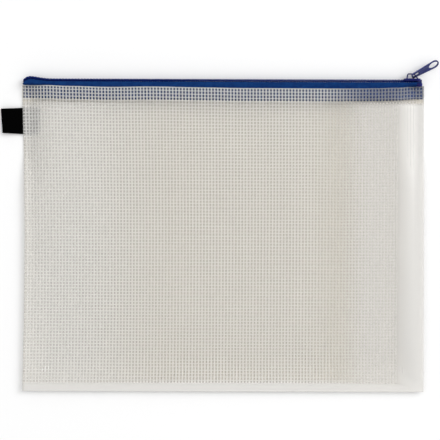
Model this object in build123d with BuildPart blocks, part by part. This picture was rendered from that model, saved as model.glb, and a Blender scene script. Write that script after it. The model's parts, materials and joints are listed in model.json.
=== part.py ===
from build123d import *
import os
from math import cos, floor, hypot, radians, sin

# A zip document wallet lying on its back panel, in millimetres.
# Two sheets of mesh-reinforced plastic are welded together along the sides and the bottom. A coil zip is
# welded behind their top edges, its two tapes turned inwards so that the chain faces away from the wallet.
# A folded ribbon is caught in the left weld.
# +X runs along the zip towards its closed end, +Y from the bottom weld to the zip, +Z from the back panel to
# the front one. The origin is the centre of the back panel's underside.

# Panels
panel_width = 335.0
panel_height = 253.0
panel_thick = 0.4
weld_width = 6.5
flap_width = 22.0  # run of the front panel from a side weld up to its full height
land_margin = 3.0  # level part of the front panel below the covered tape

# Zip tapes
tape_thick = 0.5
tape_half_span = 4.0  # from the zip's centre plane to the outer face of a tape
tape_covered = 10.0  # tape welded behind a panel
tape_stand = 5.4  # from the panels' top edge to the face that carries the coil
tape_bend = 1.0  # bevel where a tape turns down from the chain
tape_fold_lap = 0.4  # how far the inside of the fold over a pinched corner stands above its outside
tape_slit = 1.6  # gap between the two tapes under the chain
tape_layer_gap = 0.1  # between the two tapes where a corner is pinched
tape_short = 6.9  # from the closed end of the tapes to the wallet's right edge
tape_corner = 4.6  # rounding of the tapes' open end

# Zip coils, with their core cords and stitching
coil_width = 2.6  # from the zip's centre plane to the outside of a coil
coil_thick = 2.1
coil_pitch = 1.5
coil_inset = 6.0  # from the open end of the coils to the wallet's left edge
tooth_root = 0.9  # from the centre plane to the root of the teeth
tooth_gap = 0.13  # between meshed teeth
tooth_tip_gap = 0.35  # from a tooth's tip to the other coil
cord_diameter = 0.9
cord_clearance = 0.05
thread_width = 0.36
thread_height = 0.3
thread_clearance = 0.02
thread_inset = 0.28  # from the edge of a coil's spine to the middle of a row of stitching

# Slider
slider_overhang = 1.9  # from the slider's nose to the wallet's right edge
slider_waist = 5.0  # length of the parallel rear part
slider_flare = 4.5  # length of the widening part
slider_shoulder = 0.4  # how far the nose end widens on each side
slider_nose_round = 2.4
slider_rear_round = 1.0
slider_edge_round = 0.35
flange_thick = 0.7
flange_depth_share = 0.55  # of the coil's height
plate_thick = 0.7
plate_setback = 1.5  # from the upper plate's front to the slider's nose
coil_clearance = 0.15  # flange to coil
chain_clearance = 0.25  # plates, flanges and post to coil, tape and fold
tape_clearance = 0.5  # sides of the lower plate to the tapes
post_clearance = 0.2  # post to the edges of the tapes
post_length = 5.4
post_inset = 0.3  # from the post to the slider's nose
lower_plate_thick = 1.2
nose_drop = 1.4  # how far the nose reaches below the lower plate
nose_length = 5.2
nose_half = 2.6
nose_round_share = 0.9  # of half the nose's width
nose_edge_round = 0.3

# Bridge over the slider, which holds the pull
bridge_width = 1.1
bridge_thick = 1.0
bridge_rear = 2.3  # from the slider's rear end to the foot of the bridge
bridge_lean = 0.7  # how far the rear leg leans towards the nose
bridge_level = 6.2  # length of the level part
bridge_slope = 3.6  # length of the leg that runs down towards the nose
bridge_front = 2.8  # from that leg's foot to the slider's nose
bridge_round = 1.1

# Pull tab, hung on the bridge by the bar at its base
pull_reach = 24.8  # from the pivot to the tip
pull_thick = 1.0
pull_tip_half = 4.05
pull_base_round = 0.8
pull_bar = 1.0
pull_arm = 1.15
pull_slot_end = 5.7  # from the pivot to the far end of the slot that takes the bridge
pull_slot_round = 0.5
pull_eye_length = 8.2
pull_eye_width = 6.2
pull_eye_rim = 0.95
pull_recess_length = 6.6
pull_recess_width = 3.4
pull_recess_depth = 0.15
pull_lean = 29.0  # angle of the pull above the zip, in degrees
pull_twist = 40.0  # how far its face is turned towards the front, in degrees
pull_clearance = 0.18  # pull to bridge and slider
pivot_inset = 1.8  # from the pivot to the front end of the bridge's level part

# Ribbon tab in the left weld
tab_width = 20.5
tab_thick = 0.5
tab_reach = 18.2  # outside the weld
tab_tail = 13.5  # between the panels
tab_eye = 1.6  # clear height inside the fold
tab_mouth = 1.0  # from the weld to where the two layers part
tab_drop = 27.3  # from the panels' top edge to the middle of the tab

overrun = 2.0  # how far a cut runs past what it cuts

# Wallet: places worked out from the sizes above
edge_x = panel_width / 2
mouth_y = panel_height / 2
land_y = mouth_y - tape_covered - land_margin
inside_z = panel_thick
space_height = 2 * tape_half_span
zip_z = inside_z + tape_half_span
weld_x = edge_x - weld_width
full_x = weld_x - flap_width
pinch_height = 2 * tape_thick + tape_layer_gap
pinch_x = weld_x - pinch_height * flap_width / space_height

# Slider and zip: heights along +Y and places along the chain
chain_y = mouth_y + tape_stand
coil_y = chain_y + coil_thick
plate_y = coil_y + chain_clearance
deck_y = plate_y + plate_thick
lower_plate_y = chain_y - tape_thick - chain_clearance
nose_y = lower_plate_y - lower_plate_thick - nose_drop
fold_y = nose_y - chain_clearance - tape_fold_lap
tape_end_x = edge_x - tape_short
slider_length = bridge_rear + bridge_lean + bridge_level + bridge_slope + bridge_front
nose_x = edge_x - slider_overhang
rear_x = nose_x - slider_length
slider_x = (nose_x + rear_x) / 2
post_x = nose_x - post_inset - post_length / 2
coil_start_x = -edge_x + coil_inset
coil_end_x = post_x - post_length / 2 - chain_clearance

# Pull: how far the bar and the arms at its base reach from the pivot, and the seat that this takes
lean = radians(pull_lean)
twist = radians(pull_twist)
bar_reach = hypot(pull_bar / 2, (bridge_width / 2 * sin(twist) + pull_thick / 2) / cos(twist))
slot_half = (bridge_width / 2 + pull_clearance + pull_thick / 2 * sin(twist)) / cos(twist)
pull_base_half = slot_half + pull_arm
arm_reach = pull_base_half * sin(twist) + pull_thick / 2 * cos(twist)
pivot_y = deck_y + arm_reach + pull_clearance
pivot_x = rear_x + bridge_rear + bridge_lean + bridge_level - pivot_inset
bridge_y = pivot_y + bar_reach + pull_clearance


def deck_plane(height):
    """A plane square to +Y at that height, centred on the slider, with its own x along the zip."""
    return Plane(origin=(slider_x, height, zip_z), x_dir=(1, 0, 0), z_dir=(0, 1, 0))


def wallet_space(lift, past_mouth, below):
    """The space under the front panel, raised by lift: a wedge, level along the mouth, with sloping sides."""
    floor_z = inside_z + lift
    roof_z = floor_z + space_height
    with BuildPart() as space:
        with BuildSketch(Plane.YZ):
            with BuildLine():
                Polyline(
                    (-mouth_y + weld_width, floor_z - below),
                    (-mouth_y + weld_width, floor_z),
                    (land_y, roof_z),
                    (mouth_y + past_mouth, roof_z),
                    (mouth_y + past_mouth, floor_z - below),
                    close=True,
                )
            make_face()
        extrude(amount=weld_x, both=True)
        with BuildSketch(Plane.XZ):
            with BuildLine():
                Polyline(
                    (-weld_x, floor_z - below - overrun),
                    (-weld_x, floor_z),
                    (-full_x, roof_z),
                    (full_x, roof_z),
                    (weld_x, floor_z),
                    (weld_x, floor_z - below - overrun),
                    close=True,
                )
            make_face()
        extrude(amount=panel_height, both=True, mode=Mode.INTERSECT)
    return space.part


# Back panel: a flat sheet
with BuildPart() as back_panel:
    with BuildSketch():
        Rectangle(panel_width, panel_height)
    extrude(amount=panel_thick)

# Front panel: welded flat to the back one on three sides, and raised over the space and over the tab's tail
tab_y = mouth_y - tab_drop
tail_height = 2 * tab_thick
tail_middle = (-edge_x + tab_tail / 2, tab_y)
with BuildPart() as front_panel:
    with BuildSketch(Plane.XY.offset(inside_z)):
        Rectangle(panel_width, panel_height)
    extrude(amount=panel_thick)
    add(wallet_space(panel_thick, 0, panel_thick))
    with BuildSketch(Plane.XY.offset(inside_z)):
        with Locations(tail_middle):
            Rectangle(tab_tail, tab_width + 2 * panel_thick)
    extrude(amount=tail_height + panel_thick)
    add(wallet_space(0, overrun, overrun), mode=Mode.SUBTRACT)
    with BuildSketch(Plane.XY.offset(inside_z - overrun)):
        with Locations((tail_middle[0] - overrun / 2, tab_y)):
            Rectangle(tab_tail + overrun, tab_width)
    extrude(amount=tail_height + overrun, mode=Mode.SUBTRACT)


def make_tape(side, pinched_land):
    """A tape, on the front for side 1 and on the back for side -1. It carries the coil on a strip that turns
    down to a fold. A wall joins the fold to the covered strip, creased from the fold's ends so that the strip
    can follow the panel; pinched_land is how far out from the zip's centre plane the strip's ends lie."""
    inner = tape_half_span - tape_thick

    def height(out):
        return zip_z + side * out

    outer_z = height(tape_half_span)
    inner_z = height(inner)
    pinched_z = height(pinched_land)
    pinched_inner_z = height(pinched_land - tape_thick)
    fold_ends = [(end * pinch_x, fold_y, outer_z) for end in (-1, 1)]
    wall_feet = [(end * full_x, mouth_y, outer_z) for end in (-1, 1)]
    pinched_feet = [(end * pinch_x, mouth_y, pinched_z) for end in (-1, 1)]
    walls = [fold_ends + wall_feet[::-1]]
    walls += [list(corner) for corner in zip(fold_ends, wall_feet, pinched_feet)]
    with BuildPart() as tape:
        with BuildSketch(Plane.YZ.offset(-edge_x)):
            with BuildLine():
                Polyline(
                    (chain_y, height(tape_slit / 2)),
                    (chain_y, height(tape_half_span - tape_bend)),
                    (chain_y - tape_bend, outer_z),
                    (fold_y, outer_z),
                    (fold_y + tape_fold_lap, inner_z),
                    (chain_y - tape_bend, inner_z),
                    (chain_y - tape_thick, height(inner - tape_bend + tape_thick)),
                    (chain_y - tape_thick, height(tape_slit / 2)),
                    close=True,
                )
            make_face()
        extrude(amount=edge_x + tape_end_x)
        with BuildSketch(Plane.XZ.offset(tape_covered - mouth_y)):
            with BuildLine():
                Polyline(
                    (-pinch_x, pinched_z),
                    (-full_x, outer_z),
                    (full_x, outer_z),
                    (pinch_x, pinched_z),
                    (pinch_x, pinched_inner_z),
                    (full_x, inner_z),
                    (-full_x, inner_z),
                    (-pinch_x, pinched_inner_z),
                    close=True,
                )
            make_face()
        extrude(amount=-tape_covered - tape_fold_lap)
        for corners in walls:
            wall = Face(Wire.make_polygon(corners))
            extrude(wall, amount=hypot(tape_fold_lap, tape_thick), dir=(0, tape_fold_lap, -side * tape_thick))
        with BuildSketch():
            with Locations((-edge_x, chain_y)):
                Rectangle(tape_corner, tape_corner, align=(Align.MIN, Align.MAX))
            with Locations((-edge_x + tape_corner, chain_y - tape_corner)):
                Circle(tape_corner, mode=Mode.SUBTRACT)
        extrude(amount=zip_z + tape_half_span + overrun, mode=Mode.SUBTRACT)
    return tape


# Tapes: the front one follows the front panel down into the pinched corners, the back one lies flat
front_tape = make_tape(1, pinch_height - tape_half_span)
back_tape = make_tape(-1, tape_half_span)

# Each coil: a row of teeth on a spine that runs round its core cord, under two rows of stitching
spine_width = coil_width - tooth_root
spine_middle = (coil_width + tooth_root) / 2
coil_length = coil_end_x - coil_start_x
coil_middle_x = (coil_start_x + coil_end_x) / 2
tooth_width = coil_pitch / 2 - tooth_gap
tooth_overlap = tooth_root - tooth_tip_gap
thread_offset = spine_width / 2 - thread_inset
tooth_count = floor((coil_length - tooth_width) / coil_pitch)
core_y = chain_y + coil_thick / 2


def coil_plane(side):
    """The tapes' coil face, with its own y pointing out of the zip's centre plane on that side."""
    return Plane(origin=(coil_middle_x, chain_y, zip_z), x_dir=(-side, 0, 0), z_dir=(0, 1, 0))


def thread_places():
    """Where the two rows of stitching run, across the spine."""
    return Locations((0, spine_middle - thread_offset), (0, spine_middle + thread_offset))


def make_coil(side):
    """A coil, with its bore for the core cord and its two grooves for the stitching. The back teeth sit half
    a pitch along from the front ones, so that the two coils mesh."""
    tooth_shift = coil_pitch / 4
    with BuildPart() as coil:
        with BuildSketch(coil_plane(side)):
            with Locations((0, spine_middle)):
                Rectangle(coil_length, spine_width)
            with Locations((-tooth_shift, (tooth_root - tooth_overlap) / 2)):
                with GridLocations(coil_pitch, coil_pitch, tooth_count, 1):
                    Rectangle(tooth_width, tooth_root + tooth_overlap)
        extrude(amount=coil_thick)
        with BuildSketch(Plane.YZ.offset(coil_start_x - overrun)):
            with Locations((core_y, zip_z + side * spine_middle)):
                Circle(cord_diameter / 2 + cord_clearance)
        extrude(amount=coil_length + 2 * overrun, mode=Mode.SUBTRACT)
        with BuildSketch(coil_plane(side).offset(coil_thick - thread_height)):
            with thread_places():
                Rectangle(coil_length + 2 * overrun, thread_width + 2 * thread_clearance)
        extrude(amount=thread_height + overrun, mode=Mode.SUBTRACT)
    return coil


def make_cord(side):
    """The core cord inside a coil."""
    with BuildPart() as cord:
        with BuildSketch(Plane.YZ.offset(coil_start_x)):
            with Locations((core_y, zip_z + side * spine_middle)):
                Circle(cord_diameter / 2)
        extrude(amount=coil_length)
    return cord


def make_stitching(side):
    """The two rows of thread that sew a coil to its tape."""
    with BuildPart() as stitching:
        with BuildSketch(coil_plane(side).offset(coil_thick - thread_height)):
            with thread_places():
                Rectangle(coil_length, thread_width)
        extrude(amount=thread_height)
    return stitching


def slider_outline(rear_half, shoulder_half, setback):
    """Plan of a slider plate: parallel at the rear, widening to a front that is set back from the nose."""
    half = slider_length / 2
    with BuildSketch() as outline:
        with BuildLine():
            Polyline(
                (-half, 0),
                (-half, rear_half),
                (-half + slider_waist, rear_half),
                (-half + slider_waist + slider_flare, shoulder_half),
                (half - setback, shoulder_half),
                (half - setback, 0),
            )
            mirror(about=Plane.XZ)
        make_face()
        fillet(outline.vertices().group_by(Axis.X)[-1], slider_nose_round)
        fillet(outline.vertices().group_by(Axis.X)[0], slider_rear_round)
    return outline.sketch


# Slider: an upper plate with flanges beside the coils, a lower plate inside the wallet, the post that joins
# them and parts the tapes, a nose that is deeper than the lower plate, and the bridge
channel_half = coil_width + coil_clearance
rear_half = channel_half + flange_thick
shoulder_half = rear_half + slider_shoulder
lower_half = tape_half_span - tape_thick - tape_clearance
post_half = tape_slit / 2 - post_clearance
flange_depth = coil_thick * flange_depth_share
bridge_foot_y = deck_y - plate_thick / 2
bridge_middle_y = bridge_y + bridge_thick / 2
bridge_start_x = rear_x + bridge_rear + bridge_thick / 2
with BuildPart() as slider:
    with BuildSketch(deck_plane(plate_y)):
        add(slider_outline(rear_half, shoulder_half, plate_setback))
    extrude(amount=plate_thick)
    fillet(slider.edges().group_by(Axis.Y)[-1], slider_edge_round)
    with BuildSketch(deck_plane(plate_y - flange_depth)):
        add(slider_outline(rear_half, shoulder_half, plate_setback))
        Rectangle(slider_length + overrun, 2 * channel_half, mode=Mode.SUBTRACT)
    extrude(amount=flange_depth)
    with BuildSketch(deck_plane(lower_plate_y - lower_plate_thick)):
        add(slider_outline(lower_half, lower_half, 0))
    extrude(amount=lower_plate_thick)
    with BuildSketch(deck_plane(lower_plate_y)):
        with Locations((post_x - slider_x, 0)):
            SlotOverall(post_length, 2 * post_half)
    extrude(amount=plate_y - lower_plate_y)
    with BuildSketch(deck_plane(nose_y)):
        with Locations((slider_length / 2 - nose_length / 2, 0)):
            RectangleRounded(nose_length, 2 * nose_half, nose_half * nose_round_share)
    extrude(amount=nose_drop)
    fillet(slider.edges().group_by(Axis.Y)[0], nose_edge_round)
    with BuildSketch(Plane.XY.offset(zip_z - bridge_width / 2)):
        with BuildLine():
            FilletPolyline(
                (bridge_start_x, bridge_foot_y),
                (bridge_start_x + bridge_lean, bridge_middle_y),
                (bridge_start_x + bridge_lean + bridge_level - bridge_thick, bridge_middle_y),
                (bridge_start_x + bridge_lean + bridge_level + bridge_slope - bridge_thick, bridge_foot_y),
                radius=bridge_round,
            )
        trace(line_width=bridge_thick)
    extrude(amount=bridge_width)

# Pull tab: a flat plate with a slot for the bridge, a finger eye and a shallow recess on each face
pull_plane = Plane(
    origin=(pivot_x, pivot_y, zip_z),
    x_dir=(cos(lean), sin(lean), 0),
    z_dir=(sin(lean) * cos(twist), -cos(lean) * cos(twist), sin(twist)),
)
eye_start = pull_reach - pull_eye_rim - pull_eye_length
recess_planes = [pull_plane.offset(pull_thick / 2 - pull_recess_depth), pull_plane.offset(-pull_thick / 2)]
with BuildPart() as pull:
    with BuildSketch(pull_plane.offset(-pull_thick / 2)):
        with Locations((pull_reach - pull_tip_half, 0)):
            Circle(pull_tip_half)
        with Locations((pull_base_half - pull_bar / 2, 0)):
            RectangleRounded(2 * pull_base_half, 2 * pull_base_half, pull_base_round)
        make_hull()
        with Locations(((pull_slot_end + pull_bar / 2) / 2, 0)):
            RectangleRounded(pull_slot_end - pull_bar / 2, 2 * slot_half, pull_slot_round, mode=Mode.SUBTRACT)
        with Locations((eye_start + pull_eye_length / 2, 0)):
            Ellipse(pull_eye_length / 2, pull_eye_width / 2, mode=Mode.SUBTRACT)
    extrude(amount=pull_thick)
    for recess_plane in recess_planes:
        with BuildSketch(recess_plane):
            with Locations(((pull_slot_end + eye_start) / 2, 0)):
                RectangleRounded(pull_recess_length, pull_recess_width, pull_slot_round)
        extrude(amount=pull_recess_depth, mode=Mode.SUBTRACT)

# Ribbon tab: folded double, with a narrow eye at the fold and both layers caught between the panels
fold_radius = tab_eye / 2 + tab_thick
fold_x = -edge_x - tab_reach + fold_radius
fold_z = inside_z + fold_radius
part_x = -edge_x - tab_mouth
with BuildPart() as side_tab:
    with BuildSketch(Plane.XZ.offset(-tab_y - tab_width / 2)):
        with BuildLine():
            Polyline(
                (fold_x, fold_z + fold_radius),
                (part_x, inside_z + tail_height),
                (-edge_x + tab_tail, inside_z + tail_height),
                (-edge_x + tab_tail, inside_z),
                (fold_x, inside_z),
            )
            ThreePointArc((fold_x, inside_z), (fold_x - fold_radius, fold_z), (fold_x, fold_z + fold_radius))
        make_face()
        with BuildLine():
            Polyline(
                (fold_x, fold_z + tab_eye / 2),
                (part_x, inside_z + tab_thick),
                (fold_x, inside_z + tab_thick),
            )
            ThreePointArc(
                (fold_x, inside_z + tab_thick), (fold_x - tab_eye / 2, fold_z), (fold_x, fold_z + tab_eye / 2)
            )
        make_face(mode=Mode.SUBTRACT)
    extrude(amount=tab_width)

pieces = {
    "back_panel": back_panel,
    "front_panel": front_panel,
    "front_zip_tape": front_tape,
    "back_zip_tape": back_tape,
    "front_zip_coil": make_coil(1),
    "back_zip_coil": make_coil(-1),
    "front_core_cord": make_cord(1),
    "back_core_cord": make_cord(-1),
    "front_coil_stitching": make_stitching(1),
    "back_coil_stitching": make_stitching(-1),
    "zip_slider": slider,
    "pull_tab": pull,
    "side_tab": side_tab,
}

os.makedirs("parts", exist_ok=True)
for label, piece in pieces.items():
    piece.part.label = label
    export_step(piece.part, f"parts/{label}.step")
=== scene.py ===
import json
from math import cos, exp, hypot, pi, radians, sin, sqrt, tau

import bmesh
import bpy
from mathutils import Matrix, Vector, noise


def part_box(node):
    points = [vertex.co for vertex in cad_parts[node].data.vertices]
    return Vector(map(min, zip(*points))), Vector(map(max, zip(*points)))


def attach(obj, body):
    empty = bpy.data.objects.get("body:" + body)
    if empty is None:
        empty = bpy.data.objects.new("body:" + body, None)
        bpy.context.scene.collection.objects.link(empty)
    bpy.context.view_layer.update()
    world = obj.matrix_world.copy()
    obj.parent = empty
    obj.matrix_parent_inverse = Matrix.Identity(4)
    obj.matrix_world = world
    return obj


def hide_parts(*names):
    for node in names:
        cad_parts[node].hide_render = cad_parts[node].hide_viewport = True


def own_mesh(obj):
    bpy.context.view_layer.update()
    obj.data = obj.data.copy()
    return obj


# A zip document wallet of scrim-reinforced clear film, lying on its back panel. Metres, in the frame of the
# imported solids: +X along the zip, +Y from the bottom weld to the zip, +Z from the back panel to the front.

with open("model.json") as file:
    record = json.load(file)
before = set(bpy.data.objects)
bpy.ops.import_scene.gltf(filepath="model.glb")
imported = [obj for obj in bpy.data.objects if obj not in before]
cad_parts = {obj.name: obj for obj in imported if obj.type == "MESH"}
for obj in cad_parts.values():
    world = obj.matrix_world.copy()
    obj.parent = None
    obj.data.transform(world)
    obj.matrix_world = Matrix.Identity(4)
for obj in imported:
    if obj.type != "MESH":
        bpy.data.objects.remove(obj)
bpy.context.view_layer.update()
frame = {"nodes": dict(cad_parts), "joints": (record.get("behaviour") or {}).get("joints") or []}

MM = 0.001

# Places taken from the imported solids
edge_x, mouth_y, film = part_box("back_panel")[1]  # half the panels' width and height, the film's thickness
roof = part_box("front_panel")[1].z
coil_low, coil_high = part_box("front_zip_coil")
tape_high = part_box("front_zip_tape")[1]
ribbon_low, ribbon_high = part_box("side_tab")
slider_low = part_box("zip_slider")[0]
ribbon_y = (ribbon_low.y + ribbon_high.y) / 2
zip_z = (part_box("back_zip_tape")[0].z + tape_high.z) / 2
zip_span = tape_high.z - zip_z
chain_y = coil_low.y
coil_thick = coil_high.y - coil_low.y
left_end = -edge_x
slider_run = next(j for j in frame["joints"] if j["name"] == "slider_travel")["range_m"][1]
slider_stop = slider_low.x - slider_run  # how far left the slider's nose comes

# Panels
weld = 6.5 * MM
flap_run = 22 * MM  # from a side weld up to the front panel's full height
land = 13 * MM  # level strip of the front panel along the mouth
weld_x = edge_x - weld
land_y = mouth_y - land
space_height = roof - 2 * film
crease_share = 0.16  # of the full height, rounded off where two slopes of the front panel meet
contact = 0.02 * MM  # kept between sheets that lie on each other
tape_round, ribbon_round = 0.3 * MM, 0.2 * MM  # where the front panel comes down on tapes and ribbon
left_bow = 1.6 * MM  # how far the left edge pulls in half way up
left_flare = 1.2 * MM  # how far it is drawn out at the mouth
edge_curl = 3 * MM  # how far the welded edges lift off the table
curl_run = 26 * MM
curl_fade = (40 * MM, 80 * MM)  # heights between which the zip comes to hold them down
ripple = 0.55 * MM
ripple_length = 62 * MM
slack_lift = (0.5 * MM, 4 * MM)  # between these lifts off the back panel the front one comes to ripple
taut_run = 22 * MM  # below the level strip, where the zip draws it taut
# The slow ripples and the finer ones on them: share of the height, how many to a slow one, place in the noise
ripples = [(1, 1, (3.7, 1.2, 0.4)), (0.45, 2.3, (0.3, 8.1, 2.4))]
mouth_reach = 90 * MM  # how far down the panels the wave of their top edge is felt
# How far the panels' top edge stands above a straight line, by place along it, in millimetres: up in both
# corners, with a slow wave between
mouth_wave = [
    (-167.5, 2.8), (-150, 2.2), (-128, 1.4), (-95, 0.65), (-61, 1.1), (-11, 0.4), (14, 0), (89, -0.15),
    (123, 0.1), (144, 0.8), (160, 2.3), (167.5, 2.6),
]

# Scrim
warp_pitch = {"front": 2.68 * MM, "back": 2.69 * MM}  # the back sheet is stretched a little more
weft_pitch = 2.74 * MM
warp_width = 1.28 * MM  # yarns that run from the bottom weld to the zip
weft_width = 0.88 * MM  # yarns that run along the zip
weft_skew = 0.7 * MM  # how far these rise towards the left
yarn_thick = 0.24 * MM
yarn_inset = 0.2 * MM  # of the yarns' ends from the cut edges
weft_depth, warp_depth = 0.6, 0.4  # where the yarns lie in the film, as shares of its thickness
bent_run = 40 * MM  # at the sides and the mouth, where the yarns take a point at every crossing
bent_bottom = 14 * MM  # the same at the bottom
# Where each panel's outer yarns lie, from its left, right, top and bottom edges: the two sheets are cut at
# different places of the roll
outer_yarns = {
    "front": (2.54 * MM, 1.1 * MM, 0.68 * MM, 0.7 * MM), "back": (2.04 * MM, 2.2 * MM, 2.22 * MM, 1.7 * MM),
}

# Zip
tape_thick = 0.5 * MM
tape_covered = 10 * MM  # the strip welded behind the panel
tape_foot = mouth_y - tape_covered
tape_slit = 1.6 * MM  # between the two tapes, under the coils
tape_end_x = tape_high.x
tape_inset = 0.4 * MM  # of the covered strip's right end from the panels' cut edge
tape_lap = 3 * MM  # from the panel's edge to where the tape lies close behind it
least_stand = 0.6 * MM  # of the tapes above the panel's edge, where the zip's left end comes down
least_fold = 0.4 * MM  # of the fold above that edge
tape_bend = 1.1 * MM
tape_swell = 1.9 * MM  # above the panel's edge, where the tape has come out to the zip's full width
tape_tongue = 4 * MM  # how far the strip under the coil runs on into the slider's nose
section_steps = 3  # between two of the points that a tape's section is drawn through
wall_top = slider_low.y + 1.3 * MM  # the tapes turn in below the slider's lower plate
pinch_lift = 1.0 * MM  # two tapes between the welded panels
coil_half = 2.6 * MM
pinched_half = coil_half + 0.1 * MM  # half the zip's width in its pinched end
coil_pitch = 1.5 * MM
tooth_overlap = 0.55 * MM
filament = 0.68 * MM
cord_radius = 0.43 * MM
cord_twist = 3 * MM
strand_hollow = 0.72  # of the cord's radius, in the hollows between its strands
cord_out = 1.75 * MM  # from the zip's centre plane
stitch_length = 2.3 * MM
stitch_width = 0.36 * MM
stitch_gap = 0.25 * MM
stitch_rows = (1.2 * MM, 2.05 * MM)  # from the zip's centre plane
zip_start = left_end - 0.9 * MM
hump_x = left_end + 5.5 * MM  # where the pinched left end of the zip stands highest
hump_rise = 2.1 * MM
hump_reach = 7.2 * MM
end_round = 7 * MM
end_drop = 7.2 * MM
end_dip = 1.1 * MM  # how far the pinched end drops towards the back panel

# Ribbon
ribbon_thick = 0.48 * MM
ribbon_tail = 13.5 * MM
ribbon_bulge = (11.4 * MM, 14.4 * MM)  # from the ribbon's middle, where the panel over it comes down
ribbon_spread = 0.75 * MM  # how much wider than its solid the ribbon is at the weld, to each side
ribbon_lean = 0.75 * MM  # how far the fold leans at each of the ribbon's edges
ribbon_drop = 0.15 * MM  # how far it lies below the middle of its solid

# Welding traces and painted light: the axis, where each begins, where it is complete, and its strength there
# Besides the welds' own milk, these bands paint in light as milky film: the lamp's sheen on the right flap,
# and the brighter borders and left part of the panel
milky_welds_and_painted_sheen = [  # milky film and painted light, in a strong and a faint band at the right, and at the left and the bottom
    ("X", edge_x - 40 * MM, edge_x - 4 * MM, 0.48),
    ("X", edge_x - 75 * MM, edge_x - 45 * MM, 0.22),
    ("X", left_end + 135 * MM, left_end + 30 * MM, 0.22),
    ("Y", -mouth_y + 11 * MM, -mouth_y + 4 * MM, 0.42),
]
soaked_yarns = [  # yarns that the film has soaked clear, at the right, at the left and over the tapes
    ("X", edge_x - 105 * MM, edge_x - 40 * MM, 0.72),
    ("X", left_end + 150 * MM, left_end + 80 * MM, 0.2),
    ("Y", tape_foot - 1 * MM, tape_foot + 1 * MM, 0.16),
]


def smooth_step(low, high, value):
    """0 below the low value, 1 above the high one, and a smooth rise between."""
    share = min(max((value - low) / (high - low), 0), 1)
    return share * share * (3 - 2 * share)


def soft_min(a, b, reach):
    """The smaller of two values, with the corner between them rounded off."""
    overlap = max(reach - abs(a - b), 0)
    return min(a, b) - overlap * overlap / (4 * reach)


def soft_max(a, b, reach):
    return -soft_min(-a, -b, reach)


# The shape that both panels, the scrim and the tapes follow

def mouth_rise(x):
    """Height of the panels' top edge above a straight line."""
    place = min(max(x / MM, mouth_wave[0][0]), mouth_wave[-1][0])
    for (x0, rise0), (x1, rise1) in zip(mouth_wave, mouth_wave[1:]):
        if place <= x1:
            return (rise0 + (rise1 - rise0) * smooth_step(x0, x1, place)) * MM


def plan(u, v):
    """Where a point of a flat panel comes to lie, seen from above."""
    bow = left_bow * (1 - (v / mouth_y) ** 2) - left_flare * smooth_step(0, mouth_y, v)
    y = v + mouth_rise(u) * max(1 - (mouth_y - v) / mouth_reach, 0) ** 2
    return u + bow * ((edge_x - u) / (2 * edge_x)) ** 2, y


def curl(u, v):
    """How far the welded edges lift off the table; the zip holds the corners at the mouth down."""
    inwards = min(edge_x - abs(u), v + mouth_y)
    return edge_curl * (1 - smooth_step(0, curl_run, inwards)) * (1 - smooth_step(*curl_fade, v))


def front_underside(u, v):
    """Height of the front panel's underside: a wedge with sloping sides, lifted by tapes and ribbon."""
    side = min(max((weld_x - abs(u)) / flap_run, 0), 1)
    wedge = (v + mouth_y - weld) / (land_y + mouth_y - weld)
    wedge = soft_max(soft_min(wedge, 1, crease_share), 0, crease_share / 2)
    lift = space_height * wedge * (1 - (1 - side) ** 2)
    slack = smooth_step(*slack_lift, lift) * (1 - smooth_step(land_y - taut_run, land_y, v))
    here = Vector((u, v, 0)) / ripple_length
    waves = sum(share * noise.noise(here * times + Vector(place)) for share, times, place in ripples)
    lift += ripple * slack * waves
    pinch = pinch_lift * smooth_step(tape_foot - 4 * MM, tape_foot + 1 * MM, v)
    beside = 1 - smooth_step(*ribbon_bulge, abs(plan(u, v)[1] - ribbon_y))
    inner_end = left_end + ribbon_tail
    over = 1 - smooth_step(inner_end, inner_end + 3 * MM, u)
    tail = (2 * ribbon_thick + contact) * beside * over
    lift = soft_max(soft_max(lift, pinch, tape_round), tail, ribbon_round)
    return film + contact + curl(u, v) + lift


# The line that the zip follows

def end_pinch(x):
    """1 where the left end of the zip is pinched flat in the weld, 0 along the rest of it."""
    return exp(-0.5 * (max(x - hump_x, 0) / hump_reach) ** 2)


def zip_line(x):
    """The y of the tapes' coil face, the z of the zip's centre plane, and half its width there."""
    top = chain_y + hump_rise * end_pinch(x)
    back = max(zip_start + end_round - x, 0)
    if back:
        corner = 1 - sqrt(max(1 - (back / end_round) ** 2, 0))
        top -= end_drop * corner
    middle = zip_z - end_dip * end_pinch(x)
    half = zip_span - (zip_span - pinched_half) * end_pinch(x)
    return top, middle, half


def spaced(low, high, step):
    """Even places from low to high, as near to the step as will fit."""
    count = max(round((high - low) / step), 1)
    return [low + (high - low) * i / count for i in range(count + 1)]


# Mesh helpers

def new_mesh(name, points, edges, faces):
    mesh = bpy.data.meshes.new(name)
    mesh.from_pydata(points, edges, faces)
    return mesh


def put_in_scene(name, data):
    made = bpy.data.objects.new(name, data)
    bpy.context.scene.collection.objects.link(made)
    return made


def add_piece(name, mesh, body, material, slot, *nodes):
    """Puts a finished mesh in the scene as a piece that rides on a body."""
    piece = put_in_scene(name, mesh)
    if material:
        mesh.materials.clear()
        mesh.materials.append(material)
    for face in mesh.polygons:
        face.use_smooth = True
    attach(piece, body)
    if nodes:
        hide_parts(*nodes)
    return piece


def remove_shape(shape):
    used = shape.data
    bpy.data.objects.remove(shape)
    bpy.data.meshes.remove(used)


def bake(source, name):
    """The evaluated shape of an object as a plain mesh; the object itself is removed."""
    bpy.context.view_layer.update()
    seen = source.evaluated_get(bpy.context.evaluated_depsgraph_get())
    mesh = bpy.data.meshes.new_from_object(seen)
    mesh.name = name
    remove_shape(source)
    return mesh


def line_object(name, runs):
    """Open runs of points as one mesh of edges, for a tree to work on."""
    points = [point for run in runs for point in run]
    edges = []
    start = 0
    for run in runs:
        edges += [(start + i, start + i + 1) for i in range(len(run) - 1)]
        start += len(run)
    return put_in_scene(name, new_mesh(name, points, edges, []))


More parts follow.
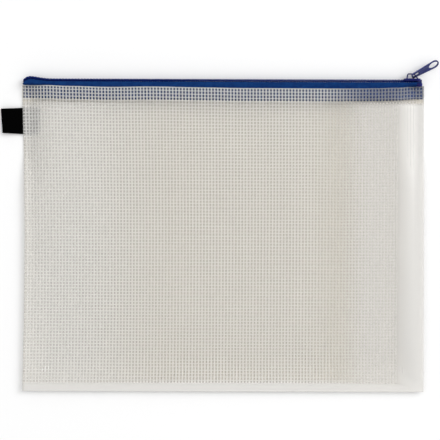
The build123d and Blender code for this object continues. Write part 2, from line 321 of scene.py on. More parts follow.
def grid_faces(columns, rows):
    """The faces of a sheet whose points run up one column after another."""
    return [
        (c * rows + r, (c + 1) * rows + r, (c + 1) * rows + r + 1, c * rows + r + 1)
        for c in range(columns - 1) for r in range(rows - 1)
    ]


def tube_faces(steps, sides):
    """The faces of a tube whose points run round one ring after another."""
    return [
        (i * sides + k, i * sides + (k + 1) % sides, (i + 1) * sides + (k + 1) % sides, (i + 1) * sides + k)
        for i in range(steps) for k in range(sides)
    ]


def give_uv(mesh, places):
    """A map in metres, from each vertex's place on the flat cut."""
    layer = mesh.uv_layers.new(name="cut")
    for loop in mesh.loops:
        layer.data[loop.index].uv = places[loop.vertex_index % len(places)]


def thicken(holder, thick):
    """Gives a sheet its thickness, half to each side."""
    wall = holder.modifiers.new("wall", "SOLIDIFY")
    wall.thickness = thick
    wall.offset = 0


# Node helpers

def colour(code):
    """Linear RGBA of an sRGB hex value."""
    parts = [int(code[i:i + 2], 16) / 255 for i in (1, 3, 5)]
    return [c / 12.92 if c <= 0.04045 else ((c + 0.055) / 1.055) ** 2.4 for c in parts] + [1]


def add_node(tree, kind, inputs=None, **settings):
    """A node with its settings; each input is a value, or the output that is linked to it."""
    made = tree.nodes.new(kind)
    for name, value in settings.items():
        setattr(made, name, value)
    for socket, value in (inputs or {}).items():
        if isinstance(value, bpy.types.NodeSocket):
            tree.links.new(value, made.inputs[socket])
        else:
            made.inputs[socket].default_value = value
    return made


def calc(tree, operation, *values):
    """The result of one operation on values and outputs."""
    return add_node(tree, "ShaderNodeMath", dict(enumerate(values)), operation=operation).outputs[0]


def blend(tree, share, first, second):
    """The second shader by that share, and the first by the rest."""
    return add_node(tree, "ShaderNodeMixShader", {0: share, 1: first, 2: second}).outputs[0]


def patches(tree, where, size, detail):
    """A cloudy value, in patches of about that size."""
    made = add_node(tree, "ShaderNodeTexNoise", {"Vector": where, "Scale": 1 / size, "Detail": detail})
    return made.outputs["Fac"]


def two_tones(tree, share, dark, light, low=0.0, high=1.0):
    """A tone between two colours, by a share that counts from low to high."""
    made = add_node(tree, "ShaderNodeValToRGB", {"Fac": share})
    for stop, place, code in zip(made.color_ramp.elements, (low, high), (dark, light)):
        stop.position = place
        stop.color = colour(code)
    return made.outputs["Color"]


def relief(tree, height, strength, depth):
    """The lean that a fine relief gives to a surface."""
    made = add_node(tree, "ShaderNodeBump", {"Height": height, "Strength": strength, "Distance": depth})
    return made.outputs["Normal"]


def strongest(tree, axes, edges):
    """The largest of several values that rise smoothly across the part, each with its axis, its start, its
    end and its full value."""
    largest = 0.0
    for axis, low, high, full in edges:
        ramp = add_node(
            tree, "ShaderNodeMapRange",
            {"Value": axes.outputs[axis], "From Min": low, "From Max": high, "To Min": 0.0, "To Max": full},
            interpolation_type="SMOOTHSTEP",
        )
        largest = calc(tree, "MAXIMUM", largest, ramp.outputs["Result"])
    return largest


def new_finish(name):
    """An empty material and its tree."""
    finish = bpy.data.materials.new(name)
    finish.use_nodes = True
    finish.node_tree.nodes.clear()
    return finish, finish.node_tree


def object_place(tree):
    return add_node(tree, "ShaderNodeTexCoord").outputs["Object"]


def close_finish(finish, shader):
    add_node(finish.node_tree, "ShaderNodeOutputMaterial", {"Surface": shader})
    return finish


# Finishes

def calendered_film():
    """Plasticised PVC film, calendered: almost clear, faintly warm, milky along the welds, with a satin skin
    that the scrim telegraphs through as a shallow quilting. The milky bands at the borders also carry painted
    light: the lamp's sheen on the right flap, and brighter borders."""
    finish, tree = new_finish("calendered_pvc_film")
    where = object_place(tree)
    cloud = patches(tree, where, size=40 * MM, detail=3.0)
    haze = add_node(tree, "ShaderNodeMapRange", {"Value": cloud, "To Min": 0.005, "To Max": 0.015})
    axes = add_node(tree, "ShaderNodeSeparateXYZ", {"Vector": where})
    below_tape = strongest(tree, axes, [("Y", tape_foot, tape_foot - 5 * MM, 1.0)])
    # painted light: the lamp's sheen and the brighter borders, laid on as milky film together with the welds'
    # own milk
    painted_sheen_and_milk = strongest(tree, axes, milky_welds_and_painted_sheen)
    milky = calc(tree, "MULTIPLY_ADD", painted_sheen_and_milk, below_tape, haze.outputs["Result"])
    ridges = [
        calc(tree, "COSINE", calc(tree, "MULTIPLY", axes.outputs[axis], tau / pitch))
        for axis, pitch in (("X", warp_pitch["front"]), ("Y", weft_pitch))
    ]
    skin = relief(tree, calc(tree, "MAXIMUM", *ridges), strength=0.25, depth=0.04 * MM)
    body = add_node(
        tree, "ShaderNodeBsdfPrincipled", {"Base Color": colour("#FAF9F7"), "Roughness": 0.4, "IOR": 1.53}
    )
    clear = add_node(tree, "ShaderNodeBsdfTransparent", {"Color": colour("#FBFAF8")})
    mist = blend(tree, milky, clear.outputs[0], body.outputs[0])
    shine = add_node(
        tree, "ShaderNodeBsdfGlossy", {"Color": colour("#FFFFFF"), "Roughness": 0.38, "Normal": skin}
    )
    # A clear sheet reflects little straight on, and nearly all at a grazing angle
    straight, grazing = 0.012, 0.9
    tilt = add_node(tree, "ShaderNodeLayerWeight", {"Blend": 0.5, "Normal": skin})
    steep = calc(tree, "POWER", tilt.outputs["Facing"], 5.0)
    gloss = calc(tree, "MULTIPLY_ADD", steep, grazing, straight)
    return close_finish(finish, blend(tree, gloss, mist, shine.outputs[0]))


def cut_film():
    """The same film where it was cut: a milky edge, which is partly a painted highlight along the cut."""
    finish, tree = new_finish("cut_pvc_edge")
    where = object_place(tree)
    nicks = patches(tree, where, size=2 * MM, detail=3.0)
    tone = two_tones(tree, nicks, "#E4E2DE", "#FAF9F7")
    body = add_node(tree, "ShaderNodeBsdfPrincipled", {"Base Color": tone, "Roughness": 0.5, "IOR": 1.53})
    clear = add_node(tree, "ShaderNodeBsdfTransparent", {"Color": colour("#FFFFFF")})
    # painted highlight along the cut edge, together with the edge's own milkiness
    milk_and_highlight_share = 0.6
    return close_finish(finish, blend(tree, milk_and_highlight_share, clear.outputs[0], body.outputs[0]))


def scrim_yarn():
    """Flat polyester multifilament, bonded in the film: off-white, clearer where the film has soaked in, with
    the streaks of its filaments. These are far finer than a pixel, so the streaks are drawn 0.5 mm apart."""
    finish, tree = new_finish("polyester_scrim_yarn")
    where = object_place(tree)
    streak = patches(tree, where, size=0.5 * MM, detail=2.0)
    tone = two_tones(tree, streak, "#F8F7F5", "#FDFDFC", low=0.3, high=0.7)
    filaments = relief(tree, streak, strength=0.3, depth=0.05 * MM)
    body = add_node(
        tree, "ShaderNodeBsdfPrincipled",
        {"Base Color": tone, "Roughness": 0.6, "IOR": 1.5, "Normal": filaments},
    )
    glow = add_node(tree, "ShaderNodeBsdfTranslucent", {"Color": tone})
    glow_share = 0.42  # of the light, which shines through the yarn
    fibre = blend(tree, glow_share, body.outputs[0], glow.outputs[0])
    sheer = add_node(tree, "ShaderNodeBsdfTransparent", {"Color": colour("#FFFFFF")}).outputs[0]
    axes = add_node(tree, "ShaderNodeSeparateXYZ", {"Vector": where})
    soaked = blend(tree, strongest(tree, axes, soaked_yarns), fibre, sheer)
    wall = add_node(tree, "ShaderNodeNewGeometry")
    return close_finish(finish, blend(tree, wall.outputs["Backfacing"], soaked, sheer))


def woven_tape():
    """Polyester zip tape, woven in a herringbone: navy, matt, with painted light on the tops of the yarns
    and painted shade between them. The yarns are 0.4 mm apart, and the weave is drawn at 1 mm so that it
    shows."""
    finish, tree = new_finish("woven_polyester_tape")
    where = object_place(tree)
    cut = add_node(tree, "ShaderNodeUVMap", uv_map="cut").outputs["UV"]
    axes = add_node(tree, "ShaderNodeSeparateXYZ", {"Vector": cut})
    zigzag = calc(tree, "PINGPONG", axes.outputs["Y"], 1.2 * MM)
    slant = calc(tree, "ADD", axes.outputs["X"], zigzag)
    twill = calc(tree, "SINE", calc(tree, "MULTIPLY", slant, tau / (1 * MM)))
    fuzz = patches(tree, where, size=3 * MM, detail=4.0)
    twill_share = 0.22
    height = calc(tree, "MULTIPLY_ADD", twill, twill_share, fuzz)
    # painted light and shade: the tone follows the weave's height, lighter on top; the fuzz adds tone at
    # random
    tone = two_tones(tree, height, "#082354", "#143C74", low=0.2, high=0.8)
    body = add_node(
        tree, "ShaderNodeBsdfPrincipled",
        {"Base Color": tone, "Roughness": 0.8, "Specular IOR Level": 0.04,
         "Normal": relief(tree, height, strength=0.5, depth=0.12 * MM)},
    )
    return close_finish(finish, body.outputs[0])


def coil_nylon():
    """Nylon monofilament, dyed and heat-set: deep navy with a soft shine along each turn."""
    finish, tree = new_finish("dyed_nylon_filament")
    where = object_place(tree)
    dye = patches(tree, where, size=4 * MM, detail=3.0)
    tone = two_tones(tree, dye, "#00105A", "#061E78", low=0.3, high=0.75)
    body = add_node(
        tree, "ShaderNodeBsdfPrincipled", {"Base Color": tone, "Roughness": 0.45, "Specular IOR Level": 0.12}
    )
    return close_finish(finish, body.outputs[0])


def spun_thread(name, dark, light, twist):
    """Spun polyester: navy, matt, with slanting plies. The plies are drawn coarser than they are, at the
    given spacing, so that they show."""
    finish, tree = new_finish(name)
    where = object_place(tree)
    plies = add_node(
        tree, "ShaderNodeTexWave", {"Vector": where, "Scale": 1 / twist, "Distortion": 0.6, "Detail": 2.0},
        bands_direction="DIAGONAL",
    ).outputs["Fac"]
    body = add_node(
        tree, "ShaderNodeBsdfPrincipled",
        {"Base Color": two_tones(tree, plies, dark, light), "Roughness": 0.75, "Specular IOR Level": 0.1,
         "Normal": relief(tree, plies, strength=0.4, depth=0.06 * MM)},
    )
    return close_finish(finish, body.outputs[0])


def stoved_enamel(name, dark, light, highlight_colour):
    """Enamel stoved on a zinc casting: navy, semi-gloss, a faint orange-peel skin, and paler on its sharp
    edges, which is a painted highlight."""
    finish, tree = new_finish(name)
    where = object_place(tree)
    cloud = patches(tree, where, size=3 * MM, detail=4.0)
    tone = two_tones(tree, cloud, dark, light, low=0.35, high=0.7)
    peel = patches(tree, where, size=0.7 * MM, detail=1.0)
    # painted highlight: the sharp edges, where the surface bends most, get the paler colour
    bend = add_node(tree, "ShaderNodeNewGeometry").outputs["Pointiness"]
    edge_highlight = add_node(
        tree, "ShaderNodeMapRange",
        {"Value": bend, "From Min": 0.53, "From Max": 0.62, "To Min": 0.0, "To Max": 0.5},
    )
    shade = add_node(
        tree, "ShaderNodeMix", {0: edge_highlight.outputs["Result"], 6: tone, 7: colour(highlight_colour)}, data_type="RGBA"
    )
    body = add_node(
        tree, "ShaderNodeBsdfPrincipled",
        {"Base Color": shade.outputs[2], "Roughness": 0.34, "Specular IOR Level": 0.2,
         "Normal": relief(tree, peel, strength=0.12, depth=0.05 * MM)},
    )
    return close_finish(finish, body.outputs[0])


def woven_ribbon():
    """Polyester ribbon in a plain rib weave: black, matt, with fine ribs across it. The ribs are 0.5 mm
    apart, and are drawn at 1 mm so that they show."""
    finish, tree = new_finish("woven_polyester_ribbon")
    cut = add_node(tree, "ShaderNodeUVMap", uv_map="cut").outputs["UV"]
    axes = add_node(tree, "ShaderNodeSeparateXYZ", {"Vector": cut})
    waves = [
        calc(tree, "SINE", calc(tree, "MULTIPLY", axes.outputs[axis], tau / spacing))
        for axis, spacing in (("X", 1 * MM), ("Y", 0.8 * MM))
    ]
    weave = calc(tree, "MULTIPLY", *waves)
    body = add_node(
        tree, "ShaderNodeBsdfPrincipled",
        {"Base Color": two_tones(tree, weave, "#010101", "#040404"), "Roughness": 0.85,
         "Specular IOR Level": 0.02, "Normal": relief(tree, weave, strength=0.5, depth=0.1 * MM)},
    )
    return close_finish(finish, body.outputs[0])


# Trees

def new_tree(name, inputs):
    """A Geometry Nodes tree with named inputs; gives the tree, its input node and each input's identifier."""
    tree = bpy.data.node_groups.new(name, "GeometryNodeTree")
    tree.interface.new_socket("Line", in_out="INPUT", socket_type="NodeSocketGeometry")
    tree.interface.new_socket("Result", in_out="OUTPUT", socket_type="NodeSocketGeometry")
    keys = {}
    for label, kind in inputs.items():
        keys[label] = tree.interface.new_socket(label, in_out="INPUT", socket_type=kind).identifier
    return tree, add_node(tree, "NodeGroupInput"), keys


def close_tree(tree, geometry, material):
    """Every tree ends by making its instances real and setting the finish."""
    real = add_node(tree, "GeometryNodeRealizeInstances", {"Geometry": geometry})
    painted = add_node(tree, "GeometryNodeSetMaterial", {"Geometry": real.outputs[0], "Material": material})
    add_node(tree, "NodeGroupOutput", {0: painted.outputs[0]})


def level_path(tree, given):
    """The given line as a curve whose section stays level."""
    path = add_node(tree, "GeometryNodeMeshToCurve", {"Mesh": given.outputs["Line"]})
    level = add_node(tree, "GeometryNodeSetCurveNormal", {"Curve": path.outputs[0]}, mode="Z_UP")
    return level.outputs[0]


def yarn_tree():
    """A flat yarn along each line, lying level."""
    tree, given, keys = new_tree("flat_yarns", {
        "Width": "NodeSocketFloat", "Thickness": "NodeSocketFloat", "Sides": "NodeSocketInt",
        "Finish": "NodeSocketMaterial",
    })
    round_section = add_node(
        tree, "GeometryNodeCurvePrimitiveCircle", {"Resolution": given.outputs["Sides"], "Radius": 0.5}
    )
    flat = add_node(
        tree, "ShaderNodeCombineXYZ",
        {"X": given.outputs["Width"], "Y": given.outputs["Thickness"], "Z": 1.0},
    )
    section = add_node(
        tree, "GeometryNodeTransform", {"Geometry": round_section.outputs[0], "Scale": flat.outputs[0]}
    )
    yarns = add_node(
        tree, "GeometryNodeCurveToMesh",
        {"Curve": level_path(tree, given), "Profile Curve": section.outputs[0], "Fill Caps": True},
    )
    close_tree(tree, yarns.outputs[0], given.outputs["Finish"])
    return tree, keys


def repeat_tree():
    """One shape repeated along a line at an even spacing, its own x along the line."""
    tree, given, keys = new_tree("repeated_along", {
        "Spacing": "NodeSocketFloat", "Shape": "NodeSocketObject", "Finish": "NodeSocketMaterial",
    })
    path = add_node(tree, "GeometryNodeMeshToCurve", {"Mesh": given.outputs["Line"]})
    places = add_node(
        tree, "GeometryNodeCurveToPoints", {"Curve": path.outputs[0], "Length": given.outputs["Spacing"]},
        mode="LENGTH",
    )
    turned = add_node(
        tree, "FunctionNodeAlignRotationToVector", {"Vector": places.outputs["Tangent"]}, axis="X"
    )
    shape = add_node(tree, "GeometryNodeObjectInfo", {"Object": given.outputs["Shape"]})
    copies = add_node(
        tree, "GeometryNodeInstanceOnPoints",
        {"Points": places.outputs["Points"], "Instance": shape.outputs["Geometry"],
         "Rotation": turned.outputs["Rotation"]},
    )
    close_tree(tree, copies.outputs[0], given.outputs["Finish"])
    return tree, keys


def twist_tree():
    """Three strands twisted together along a line."""
    tree, given, keys = new_tree("twisted_strands", {
        "Radius": "NodeSocketFloat", "Turn length": "NodeSocketFloat", "Finish": "NodeSocketMaterial",
    })
    along = add_node(tree, "GeometryNodeSplineParameter")
    turns = calc(tree, "DIVIDE", along.outputs["Length"], given.outputs["Turn length"])
    twisted = add_node(
        tree, "GeometryNodeSetCurveTilt",
        {"Curve": level_path(tree, given), "Tilt": calc(tree, "MULTIPLY", turns, tau)},
    )
    section = add_node(
        tree, "GeometryNodeCurveStar",
        {"Points": 3, "Inner Radius": calc(tree, "MULTIPLY", given.outputs["Radius"], strand_hollow),
         "Outer Radius": given.outputs["Radius"]},
    )
    cord = add_node(
        tree, "GeometryNodeCurveToMesh",
        {"Curve": twisted.outputs[0], "Profile Curve": section.outputs[0], "Fill Caps": True},
    )
    close_tree(tree, cord.outputs[0], given.outputs["Finish"])
    return tree, keys


def run_tree(holder, name, tree_and_keys, values):
    """The plain mesh that a tree makes of a line."""
    tree, keys = tree_and_keys
    step = holder.modifiers.new("tree", "NODES")
    step.node_group = tree
    for label, value in values.items():
        step[keys[label]] = value
    return bake(holder, name)


# Panels

def make_panel(side, place, finishes, trees):
    """One sheet of film with its scrim inside: place gives its underside's height at a point of the cut."""
    left, right, top, bottom = outer_yarns[side]
    columns = [-edge_x] + spaced(-edge_x + left, edge_x - right, warp_pitch[side]) + [edge_x]
    rows = [-mouth_y] + spaced(-mouth_y + bottom, mouth_y - top, weft_pitch) + [mouth_y]

    def point(u, v, share):
        return (*plan(u, v), place(u, v) + share * film)

    low = [point(u, v, 0) for u in columns for v in rows]
    high = [point(u, v, 1) for u in columns for v in rows]
    tops = grid_faces(len(columns), len(rows))
    lows = [tuple(i + len(high) for i in face[::-1]) for face in tops]
    last = len(rows) - 1
    rim = [c * len(rows) for c in range(len(columns))]
    rim += [(len(columns) - 1) * len(rows) + r for r in range(1, len(rows))]
    rim += [c * len(rows) + last for c in range(len(columns) - 2, -1, -1)]
    rim += list(range(last - 1, 0, -1))
    edges = [(b, a, a + len(high), b + len(high)) for a, b in zip(rim, rim[1:] + rim[:1])]
    mesh = new_mesh(f"{side}_film", high + low, [], tops + lows + edges)
    sheet = add_piece(f"{side}_film", mesh, "wallet", finishes["film"], "mesh_film", f"{side}_panel")
    mesh.materials.append(finishes["cut"])
    for face in mesh.polygons[len(tops) + len(lows):]:
        face.use_smooth = False
        face.material_index = 1

    def runs(values, near, far):
        """Every line of a grid near the edges, and every third between them."""
        return [w for i, w in enumerate(values) if i % 3 == 0 or not near < w < far or i == len(values) - 1]

    along_x = runs(columns, -edge_x + bent_run, edge_x - bent_run)
    along_y = runs(rows, -mouth_y + bent_bottom, mouth_y - bent_run)

    def weft_point(u, v):
        """A point of a weft yarn, which rises a little towards the left but stays inside the cut edge."""
        u = min(max(u, -edge_x + yarn_inset), edge_x - yarn_inset)
        risen = v + weft_skew * (edge_x - u) / (2 * edge_x)
        return point(u, min(risen, mouth_y - 0.6 * weft_width), weft_depth)

    def warp_point(u, v):
        return point(u, min(max(v, -mouth_y + yarn_inset), mouth_y - yarn_inset), warp_depth)

    runs_of = {
        "weft": (weft_width, [[weft_point(u, v) for u in along_x] for v in rows[1:-1]]),
        "warp": (warp_width, [[warp_point(u, v) for v in along_y] for u in columns[1:-1]]),
    }
    for way, (width, lines) in runs_of.items():
        net = run_tree(
            line_object(f"{side}_{way}_lines", lines), f"{side}_{way}", trees["yarn"],
            {"Width": width, "Thickness": yarn_thick, "Sides": 6, "Finish": finishes["yarn"]},
        )
        add_piece(f"{side}_{way}", net, "wallet", None, "mesh_film")


# Zip

def smooth_run(points, steps):
    """A smooth run through points (Catmull-Rom), with that many steps between each two."""
    padded = [points[0]] + points + [points[-1]]
    run = []
    for a, b, c, d in zip(padded, padded[1:], padded[2:], padded[3:]):
        for i in range(steps):
            t = i / steps
            run.append(tuple(
                0.5 * (2 * q + (r - p) * t + (2 * p - 5 * q + 4 * r - s) * t * t
                       + (3 * q - p - 3 * r + s) * t ** 3)
                for p, q, r, s in zip(a, b, c, d)
            ))
    return run + [points[-1]]


def tape_section(x, side):
    """The middle of a tape at a place along the zip, as (y, z) points: the strip under the coil, the turn
    over the zip's side, the fold and the strip welded behind the panel. Where the zip comes low over the
    panel's edge, at its left end, the turn and the fold take shares of the height that is left."""
    top, middle, half = zip_line(x)
    lap = tape_thick / 2
    edge = mouth_y + mouth_rise(x)

    def foot(v):
        under = front_underside(x, v) - lap - contact if side > 0 else film + lap + contact
        return plan(x, v)[1], under

    top = max(top, edge + least_stand)
    stand = top - edge
    outside = middle + side * (half - lap)
    turn_in = 0.32 * tape_bend  # how far in from the corner that it rounds off the turn's middle lies
    # The most that the fold, the turn and the turn's first half take of the height above the panel's edge
    fold_share, turn_share, half_turn_share = 0.4, 0.3, 0.1
    fold_y = min(edge + min(tape_swell, stand * fold_share), max(wall_top, edge + least_fold))
    points = [
        (top - lap, middle + side * tape_slit / 2),
        (top - lap, middle + side * (half - tape_bend - lap)),
        (top - lap - min(turn_in, stand * half_turn_share), middle + side * (half - turn_in - lap)),
        (top - lap - min(tape_bend, stand * turn_share), outside),
        (fold_y, outside),
        foot(mouth_y),
        foot(mouth_y - tape_lap),
        foot(tape_foot),
    ]
    return smooth_run(points, section_steps)


def make_tape(label, side, finishes):
    """A tape: its full section along the zip, then only the covered strip through the right weld and the
    strip under the coil into the slider."""
    name = f"{label}_tape"
    bend_end = left_end + 24 * MM  # up to here, at the raised end, sections lie closer
    columns = spaced(left_end, bend_end, 0.8 * MM) + spaced(bend_end, tape_end_x, 3 * MM)[1:]
    sections = [tape_section(x, side) for x in columns]
    rows = len(sections[0])
    points = [(x, y, z) for x, section in zip(columns, sections) for y, z in section]
    faces = grid_faces(len(columns), rows)
    places = []
    for x, section in zip(columns, sections):
        run = 0
        for i, here in enumerate(section):
            if i:
                run += hypot(here[0] - section[i - 1][0], here[1] - section[i - 1][1])
            places.append((x, run))
    covered = rows - 1 - 2 * section_steps  # first point of the covered strip
    under_coil = 2 * section_steps + 1  # how many points lie under the coil and half way round the turn
    tail = spaced(tape_end_x, edge_x - tape_inset, 1.4 * MM)[1:]
    tongue = spaced(tape_end_x, tape_end_x + tape_tongue, 1 * MM)[1:]
    for ends, first, last in ((tail, covered, rows), (tongue, 0, under_coil)):
        before = [(len(columns) - 1) * rows + i for i in range(first, last)]
        for x in ends:
            section = tape_section(x, side)[first:last]
            start = len(points)
            points += [(x, y, z) for y, z in section]
            places += [(x, places[i][1]) for i in before]
            here = list(range(start, start + len(section)))
            faces += [(before[i], here[i], here[i + 1], before[i + 1]) for i in range(len(section) - 1)]
            before = here
    if side > 0:
        faces = [face[::-1] for face in faces]
    flat = new_mesh(name, points, [], faces)
    give_uv(flat, places)
    holder = put_in_scene(name + "_cut", flat)
    thicken(holder, tape_thick - 2 * contact)
    tape = add_piece(name, bake(holder, name), "wallet", finishes["tape"], "zip_tape", f"{label}_zip_tape")


def zip_run(low, high, out, height, side):
    """Points along the zip, that far out from its centre plane and above the tapes' coil face."""
    run = []
    for x in spaced(low, high, coil_pitch / 2):
        top, middle, _ = zip_line(x)
        run.append((x, top + height, middle + side * out))
    return run


def shape_object(name, points, faces):
    """A small shape for a tree to repeat, its faces turned outwards."""
    mesh = new_mesh(name, points, [], faces)
    build = bmesh.new()
    build.from_mesh(mesh)
    bmesh.ops.recalc_face_normals(build, faces=build.faces)
    build.to_mesh(mesh)
    build.free()
    return put_in_scene(name, mesh)


def coil_turn(side):
    """One turn of a coil: a flattened loop of filament, its inner end the tooth that meshes."""
    wide = (coil_half + tooth_overlap - filament) / 2
    tall = (coil_thick - filament) / 2
    steps, sides = 12, 5
    line = []
    for i in range(steps + 1):
        t = tau * i / steps
        c, s = cos(t), sin(t)
        out = wide * (1 if c > 0 else -1) * abs(c) ** 0.5
        up = tall * (1 if s > 0 else -1) * abs(s) ** 0.5
        line.append(Vector((coil_pitch * (i / steps - 0.5), up, side * out)))
    points = []
    for i, here in enumerate(line):
        ahead = line[min(i + 1, steps)] - line[max(i - 1, 0)]
        if i in (0, steps):
            ahead = Vector((coil_pitch / steps, 2 * line[1].y, 0))
        normal = ahead.cross(Vector((1, 0, 0))).normalized()
        across = normal.cross(ahead).normalized()
        for k in range(sides):
            turn = tau * k / sides
            points.append(here + filament / 2 * (cos(turn) * normal + sin(turn) * across))
    return shape_object(f"turn_{side}", points, tube_faces(steps, sides))


def stitch_shape():
    """One stitch: a bead of thread that arches over the coil and dips at both ends."""
    steps, sides = 6, 6
    arch, sink = 0.12 * MM, 0.1 * MM
    end_width = 0.35  # of the width half way along
    half_wide, half_high = 0.5 * stitch_width, 0.42 * stitch_width
    points = []
    for i in range(steps + 1):
        share = i / steps
        swell = end_width + (1 - end_width) * sin(pi * share) ** 0.5
        middle = Vector((stitch_length * (share - 0.5), arch * sin(pi * share) - sink, 0))
        for k in range(sides):
            turn = tau * k / sides
            points.append(middle + Vector((0, half_high * sin(turn), half_wide * cos(turn))) * swell)
    caps = [tuple(range(sides)), tuple(steps * sides + k for k in range(sides))]
    return shape_object("stitch", points, tube_faces(steps, sides) + caps)


def part_shapes(mesh, points, place):
    """Two meshes of one that repeats a shape of so many points: the copies left of a place, and the rest."""
    left = mesh.copy()
    for part, wanted in ((left, True), (mesh, False)):
        build = bmesh.new()
        build.from_mesh(part)
        build.verts.ensure_lookup_table()
        is_left = [build.verts[i // points * points].co.x < place for i in range(len(build.verts))]
        other = [vert for vert, here in zip(build.verts, is_left) if here != wanted]
        bmesh.ops.delete(build, geom=other, context="VERTS")
        build.to_mesh(part)
        build.free()
    return left, mesh


def make_chain(label, side, finishes, trees):
    """A coil on its core cord, and the two rows of stitches that hold it to the tape. The short left end,
    which the slider doesn't pass, stays meshed."""
    first, last = zip_start + 1 * MM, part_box(f"{label}_zip_coil")[1].x
    shift = coil_pitch / 2 if side > 0 else 0
    start, end = first + coil_pitch / 2 + shift, last - coil_pitch / 2
    middle = (coil_half - tooth_overlap) / 2
    turn = coil_turn(side)
    wound = run_tree(
        line_object(f"{label}_coil_line", [zip_run(start, end, middle, coil_thick / 2, side)]),
        f"{label}_coil", trees["repeat"], {"Spacing": coil_pitch, "Shape": turn, "Finish": finishes["coil"]},
    )
    meshed, wound = part_shapes(wound, len(turn.data.vertices), slider_stop)
    add_piece(f"{label}_coil_end", meshed, "wallet", None, "zip_coil")
    coil = add_piece(f"{label}_coil", wound, "wallet", None, "zip_coil", f"{label}_zip_coil")
    strands = []
    for name, low, high in ((f"{label}_cord_end", first, slider_stop), (f"{label}_cord", slider_stop, last)):
        strands.append(run_tree(
            line_object(f"{name}_line", [zip_run(low, high, cord_out, coil_thick / 2, side)]),
            name, trees["twist"],
            {"Radius": cord_radius, "Turn length": cord_twist, "Finish": finishes["cord"]},
        ))
    add_piece(f"{label}_cord_end", strands[0], "wallet", None, "core_cord")
    cord = add_piece(f"{label}_cord", strands[1], "wallet", None, "core_cord", f"{label}_core_cord")
    stitch = stitch_shape()
    rows = [zip_run(first + 1 * MM, last - 1 * MM, out, coil_thick, side) for out in stitch_rows]
    sewn = run_tree(
        line_object(f"{label}_stitch_line", rows), f"{label}_stitches", trees["repeat"],
        {"Spacing": stitch_length + stitch_gap, "Shape": stitch, "Finish": finishes["thread"]},
    )
    kept, sewn = part_shapes(sewn, len(stitch.data.vertices), slider_stop)
    add_piece(f"{label}_stitches_end", kept, "wallet", None, "stitching")
    stitches = add_piece(f"{label}_stitches", sewn, "wallet", None, "stitching", f"{label}_coil_stitching")
    remove_shape(turn)
    remove_shape(stitch)
    for piece in (coil, cord, stitches):
        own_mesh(piece)


# Slider and pull

def soften_casting(node, name, body, finish, slot):
    """A casting with its sharp edges rounded off, in the shape of its solid."""
    mesh = frame["nodes"][node].data.copy()
    mesh.name = name
    build = bmesh.new()
    build.from_mesh(mesh)
    bmesh.ops.remove_doubles(build, verts=build.verts, dist=0.002 * MM)
    bmesh.ops.dissolve_limit(build, angle_limit=radians(1), verts=build.verts, edges=build.edges)
    build.to_mesh(mesh)
    build.free()
    holder = put_in_scene(name + "_cast", mesh)
    rounding = holder.modifiers.new("rounding", "BEVEL")
    rounding.width = 0.14 * MM
    rounding.segments = 2
    rounding.limit_method = "ANGLE"
    rounding.angle_limit = radians(40)
    rounding.harden_normals = True
    rounding.use_clamp_overlap = True
    add_piece(name, bake(holder, name), body, finish, slot, node)


# Ribbon tab

def make_ribbon(finishes):
    """A ribbon folded double, its fold outside the left weld and its two ends between the panels. The fold
    leans a little, and the ribbon narrows towards it."""
    lap = ribbon_thick / 2
    inner_end = left_end + ribbon_tail
    eye = (ribbon_high.z - ribbon_low.z) / 2 - lap
    fold_x = ribbon_low.x + eye + lap
    lower = film + contact + lap
    upper = lower + ribbon_thick + contact
    eye_z = lower + eye
    # From the lower inner end round the fold to the upper one, as (x, z) points
    path = [(inner_end, lower), (left_end, lower), (fold_x + 3 * MM, lower), (fold_x, lower)]
    path += [(fold_x - eye * sin(a), eye_z - eye * cos(a)) for a in (pi / 4, pi / 2, 3 * pi / 4)]
    path += [
        (fold_x, eye_z + eye), (fold_x + 4 * MM, eye_z + 0.86 * eye), (left_end - 4 * MM, upper + 0.3 * MM),
        (left_end - 0.6 * MM, upper), (left_end + 4 * MM, upper), (inner_end, upper),
    ]
    run = smooth_run(path, 4)
    half = (ribbon_high.y - ribbon_low.y) / 2
    rows = 13
    points, places = [], []
    walked = 0
    for i, (x, z) in enumerate(run):
        if i:
            walked += hypot(x - run[i - 1][0], z - run[i - 1][1])
        out = max(left_end - x, 0) / (left_end - ribbon_low.x)
        reach = half + ribbon_spread * (1 - 1.2 * out)
        for r in range(rows):
            across = 2 * r / (rows - 1) - 1
            points.append((x - ribbon_lean * across * out, ribbon_y - ribbon_drop + across * reach, z))
            places.append((walked, across * half))
    flat = new_mesh("side_ribbon", points, [], grid_faces(len(run), rows))
    give_uv(flat, places)
    holder = put_in_scene("ribbon_cut", flat)
    thicken(holder, ribbon_thick)
    ribbon = add_piece(
        "side_ribbon", bake(holder, "side_ribbon"), "wallet", finishes["ribbon"], "ribbon", "side_tab"
    )


# Studio

def make_floor():
    """A pale table top. To the camera it is white, and it keeps the wallet's shadow."""
    reach, below = 3, -0.05 * MM
    corners = [(-reach, -reach, below), (reach, -reach, below), (reach, reach, below), (-reach, reach, below)]
    mesh = new_mesh("floor", corners, [], [(0, 1, 2, 3)])
    floor = put_in_scene("floor", mesh)
    finish, tree = new_finish("white_table")
    paint = add_node(tree, "ShaderNodeBsdfDiffuse", {"Color": colour("#F5F5F5")}).outputs[0]
    lift = add_node(tree, "ShaderNodeEmission", {"Color": colour("#FFFFFF"), "Strength": 0.01})
    brighter = add_node(tree, "ShaderNodeAddShader", {0: paint, 1: lift.outputs[0]})
    seen = add_node(tree, "ShaderNodeLightPath")
    direct = calc(tree, "MAXIMUM", seen.outputs["Is Camera Ray"], seen.outputs["Is Glossy Ray"])
    through = calc(tree, "MAXIMUM", direct, seen.outputs["Is Transmission Ray"])
    mesh.materials.append(close_finish(finish, blend(tree, through, paint, brighter.outputs[0])))


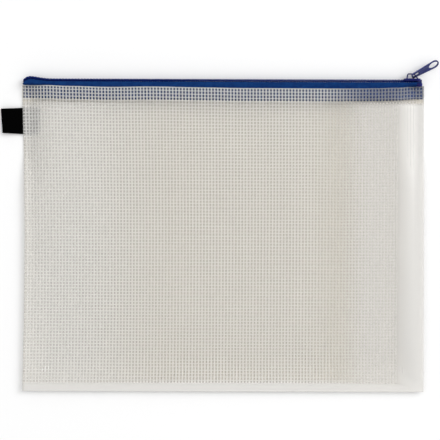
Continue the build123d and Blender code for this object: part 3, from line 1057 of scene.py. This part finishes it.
def make_light():
    """Even light from all round, and a large soft lamp above, to the right of the zip."""
    world = bpy.data.worlds.new("studio")
    bpy.context.scene.world = world
    world.use_nodes = True
    tree = world.node_tree
    tree.nodes.clear()
    seen = add_node(tree, "ShaderNodeLightPath")
    fill = add_node(tree, "ShaderNodeBackground", {"Color": colour("#FFFFFF"), "Strength": 0.86})
    white = add_node(tree, "ShaderNodeBackground", {"Color": colour("#FFFFFF"), "Strength": 1.0})
    both = blend(tree, seen.outputs["Is Camera Ray"], fill.outputs[0], white.outputs[0])
    add_node(tree, "ShaderNodeOutputWorld", {"Surface": both})
    lamp = bpy.data.lights.new("key", "AREA")
    lamp.shape = "DISK"
    lamp.size = 3
    lamp.energy = 92
    key = put_in_scene("key", lamp)
    key.location = (3.2, 1.76, 2.72)
    key.rotation_euler = (Vector((0, 0, 0)) - key.location).to_track_quat("-Z", "Y").to_euler()


def make_camera():
    """Straight down from 1.2 m, turned a fraction of a degree."""
    data = bpy.data.cameras.new("camera")
    data.sensor_width = 36
    view_width = 368.5 * MM
    distance = 1.2
    data.lens = data.sensor_width * distance / view_width
    data.clip_start = 0.01
    camera = put_in_scene("camera", data)
    camera.location = (-2.8 * MM, 16.7 * MM, distance)
    camera.rotation_euler = (0, 0, radians(0.18))
    bpy.context.scene.camera = camera
    bpy.context.scene.view_settings.view_transform = "Standard"
    # Light passes some twenty faces of clear film on its way into the wallet and out again
    bpy.context.scene.cycles.transparent_max_bounces = 18


make_camera()
make_floor()
make_light()
finishes = {
    "film": calendered_film(),
    "cut": cut_film(),
    "yarn": scrim_yarn(),
    "tape": woven_tape(),
    "coil": coil_nylon(),
    "cord": spun_thread("twisted_polyester_cord", "#0C1C50", "#1B3274", 1.2 * MM),
    "thread": spun_thread("spun_polyester_thread", "#10265E", "#274A8E", 0.5 * MM),
    "ribbon": woven_ribbon(),
}
trees = {"yarn": yarn_tree(), "repeat": repeat_tree(), "twist": twist_tree()}
make_panel("back", curl, finishes, trees)  # the back panel lies on the table but for its curled edges
make_panel("front", front_underside, finishes, trees)
make_tape("front", 1, finishes)
make_tape("back", -1, finishes)
make_chain("front", 1, finishes, trees)
make_chain("back", -1, finishes, trees)
# The third colour of each enamel is its painted edge highlight
soften_casting(
    "zip_slider", "slider_casting", "slider",
    stoved_enamel("stoved_slider_enamel", "#04084A", "#0A105E", "#262E86"), "slider_enamel",
)
soften_casting(
    "pull_tab", "pull_casting", "pull",
    stoved_enamel("stoved_pull_enamel", "#22275A", "#32386C", "#545A94"), "pull_enamel",
)
make_ribbon(finishes)
